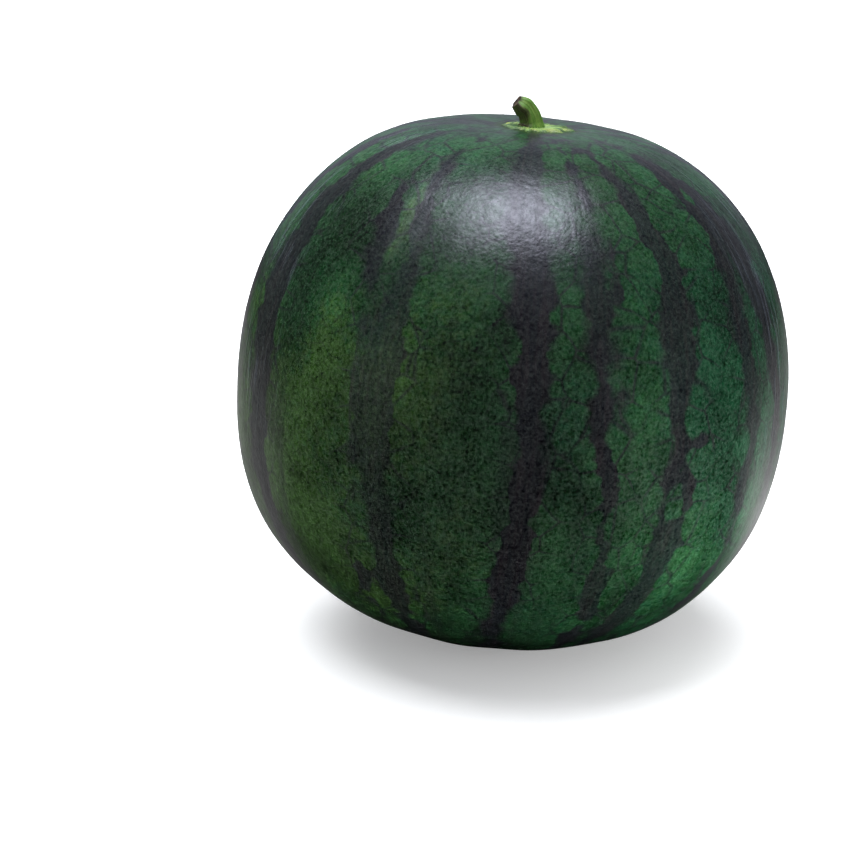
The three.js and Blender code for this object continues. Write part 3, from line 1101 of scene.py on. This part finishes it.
studio = {
    "floorRadius": 5.0,
    "floorTint": (0.9, 0.9, 0.9),
    "ambient": (0.56, 0.57, 0.59),  # lights everything evenly from all round
    "seenTint": (0.93, 0.93, 0.93),
    "floorGlow": 0.27,  # lifts the floor to the backdrop's tone in the picture alone
    "floorFade": (0.8, 3.5),  # metres from the middle over which it turns into the backdrop
    "room": (0.065, 0.068, 0.075),  # what the skin mirrors: a dim room, brighter behind and above
    "roomBehind": (0.38, 0.4, 0.48),
    "roomAbove": (0.1, 0.11, 0.13),
    "behindFrom": (0.62, 1.02),  # the directions over which it brightens, as parts of a unit vector
    "aboveFrom": (0.3, 0.9),
    "mirroredFloor": (0.004, 0.004, 0.0045),  # the floor as the skin mirrors it
    "glowFrom": (-0.04, 0.05),  # none of the floor's glow shows under the melon's front
    "floorSides": 96,
}

floorGlows = {  # bright patches of floor that only the skin mirrors: x, y, radius and brightness
    "side": (0.22, 0.11, 0.08, 0.4),
    "nearSide": (0.14, 0.08, 0.055, 0.75),
    "behind": (-0.03, 0.45, 0.42, 0.88),
}

softboxes = {  # place, aim, width, depth, watts, tint, and whether it lights matt surfaces or is mirrored
    "top": ((-0.04, -0.12, 1.2), (-0.04, -0.12, 0.0), 0.74, 0.74, 11.2, (0.81, 0.82, 1.0), "mirrored"),
    "topMiddle": ((0.02, -0.16, 1.19), (0.02, -0.16, 0.0), 0.34, 0.36, 3.1, (0.82, 0.825, 1.0), "mirrored"),
    "topLeft": ((-0.6, -0.2, 1.2), (-0.6, -0.2, 0.0), 0.3, 0.6, 0.4, (0.78, 0.84, 1.0), "mirrored"),
    "sky": ((-0.3, 0.4, 1.6), (0.0, 0.0, 0.1), 2.0, 2.0, 66.0, (0.95, 0.97, 1.0), "matt"),
    "side": ((0.17, -0.1, 0.03), (0.0, 0.0, 0.05), 0.14, 0.06, 0.2, (1.0, 1.0, 1.0), "matt"),
}

cameraView = {  # the photograph's viewpoint, in an 850 pixel square frame
    "elevation": math.radians(16),
    "distance": 0.9,
    "looksNear": Vector((0, 0, 0.088)),  # a point on the melon's axis
    "seenAt": (511.0, 395.0),  # where it shows, in pixels from the left and the top
    "frameSize": 850,
    "focalPixels": 2431.7,
    "sensor": 36.0,
}


def lightPath(tree, output):
    return Field(tree, tree.nodes.new("ShaderNodeLightPath").outputs[output])


def makeFloor():
    count = studio["floorSides"]
    turns = [2 * math.pi * i / count for i in range(count)]
    rim = [(studio["floorRadius"] * math.cos(a), studio["floorRadius"] * math.sin(a), 0) for a in turns]
    mesh = bpy.data.meshes.new("floor")
    mesh.from_pydata(rim, [], [range(count)])
    material, tree, shader = newMaterial("floor", Roughness=1.0, Specular_IOR_Level=0.0)
    x, y, _ = split(Field(tree, tree.nodes.new("ShaderNodeTexCoord").outputs["Object"]))
    tint = colour(lightPath(tree, "Is Glossy Ray"), studio["floorTint"], studio["mirroredFloor"])
    faded = smooth(*studio["floorFade"], fromOrigin(x, y))
    wire(tree, shader.inputs["Base Color"], colour(faded, tint, (0.0, 0.0, 0.0)))
    shader.inputs["Emission Color"].default_value = (1, 1, 1, 1)
    glow = lightPath(tree, "Is Camera Ray") * lerp(faded, studio["floorGlow"], studio["seenTint"][0])
    beyond = smooth(*studio["glowFrom"], y) * lightPath(tree, "Is Glossy Ray")
    for glowX, glowY, radius, brightness in floorGlows.values():
        glow = glow + bell(fromOrigin(x - glowX, y - glowY), radius) * brightness * beyond
    wire(tree, shader.inputs["Emission Strength"], glow)
    mesh.materials.append(material)
    floor = bpy.data.objects.new("floor", mesh)
    bpy.context.collection.objects.link(floor)


def makeWorld():
    world = bpy.data.worlds.new("studio")
    world.use_nodes = True
    bpy.context.scene.world = world
    tree = world.node_tree
    tree.nodes.clear()
    _, y, z = split(Field(tree, tree.nodes.new("ShaderNodeTexCoord").outputs["Generated"]))
    mirrored = colour(smooth(*studio["aboveFrom"], z), studio["room"], studio["roomAbove"])
    mirrored = colour(smooth(*studio["behindFrom"], y), mirrored, studio["roomBehind"])
    tint = colour(lightPath(tree, "Is Glossy Ray"), studio["ambient"], mirrored)
    tint = colour(lightPath(tree, "Is Camera Ray"), tint, studio["seenTint"])
    background = tree.nodes.new("ShaderNodeBackground")
    wire(tree, background.inputs["Color"], tint)
    output = tree.nodes.new("ShaderNodeOutputWorld")
    tree.links.new(background.outputs[0], output.inputs[0])


def makeSoftboxes():
    for name, (place, aim, width, depth, watts, tint, use) in softboxes.items():
        light = bpy.data.lights.new(name, "AREA")
        light.shape = "RECTANGLE"
        light.size = width
        light.size_y = depth
        light.energy = watts
        light.color = tint
        lamp = bpy.data.objects.new(name, light)
        lamp.location = place
        lamp.rotation_euler = (Vector(aim) - Vector(place)).to_track_quat("-Z", "Y").to_euler()
        lamp.visible_camera = False
        lamp.visible_diffuse = use == "matt"
        lamp.visible_glossy = use == "mirrored"
        bpy.context.collection.objects.link(lamp)


def makeCamera():
    v = cameraView
    camera = bpy.data.objects.new("camera", bpy.data.cameras.new("camera"))
    back = Vector((0, -math.cos(v["elevation"]), math.sin(v["elevation"])))
    up = Vector((0, math.sin(v["elevation"]), math.cos(v["elevation"])))
    perPixel = v["distance"] / v["focalPixels"]
    aside = (v["seenAt"][0] - v["frameSize"] / 2) * perPixel
    raised = (v["frameSize"] / 2 - v["seenAt"][1]) * perPixel
    aim = v["looksNear"] - Vector((1, 0, 0)) * aside - up * raised
    camera.location = v["looksNear"] + back * v["distance"]
    camera.rotation_euler = (aim - camera.location).to_track_quat("-Z", "Y").to_euler()
    camera.data.sensor_width = v["sensor"]
    camera.data.lens = v["focalPixels"] / v["frameSize"] * v["sensor"]
    bpy.context.collection.objects.link(camera)
    bpy.context.scene.camera = camera


makeFloor()
makeWorld()
makeSoftboxes()
makeCamera()
bpy.context.scene.view_settings.view_transform = "Standard"
print("studio set")
